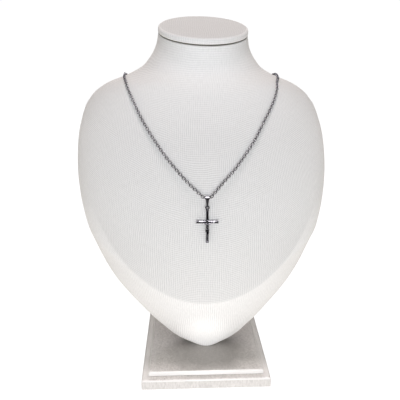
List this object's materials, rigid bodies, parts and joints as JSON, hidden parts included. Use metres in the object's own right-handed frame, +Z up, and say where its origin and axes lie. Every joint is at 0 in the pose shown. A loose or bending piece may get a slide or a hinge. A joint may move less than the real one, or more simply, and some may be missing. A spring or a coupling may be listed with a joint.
{
  "type": "crucifix pendant necklace on a neck bust",
  "caption": "Steel crucifix pendant on a cable chain with a tapered bail, laid on a fabric covered neck bust with a square leatherette covered base.",
  "frame": {"origin": "middle of the base's flat underside, where the stand rests on a table", "axes": "+Z up, -Y towards the side that the chest and the pendant face, +X to the right in a view from the front"},
  "size_m": [0.2422, 0.1482, 0.3269],
  "materials": {
    "fabric": "fine plain weave, off-white, stretched over a hard form",
    "leatherette": "pearl leatherette with a soft sheen and fine grain",
    "seam_board": "bare dark edge of the board under the cap",
    "chain_steel": "polished stainless wire",
    "pendant_steel": "polished stainless steel, darker in the hollows"
  },
  "bodies": {
    "root": {"base_plate": "leatherette", "base_panel": "leatherette", "support_post": "fabric", "bust_body": "fabric", "cap_seam": "seam_board", "neck_cap": "fabric", "chain_left": "chain_steel", "chain_right": "chain_steel", "clasp": "chain_steel", "bail": "pendant_steel", "crucifix": "pendant_steel"}
  },
  "joints": []
}
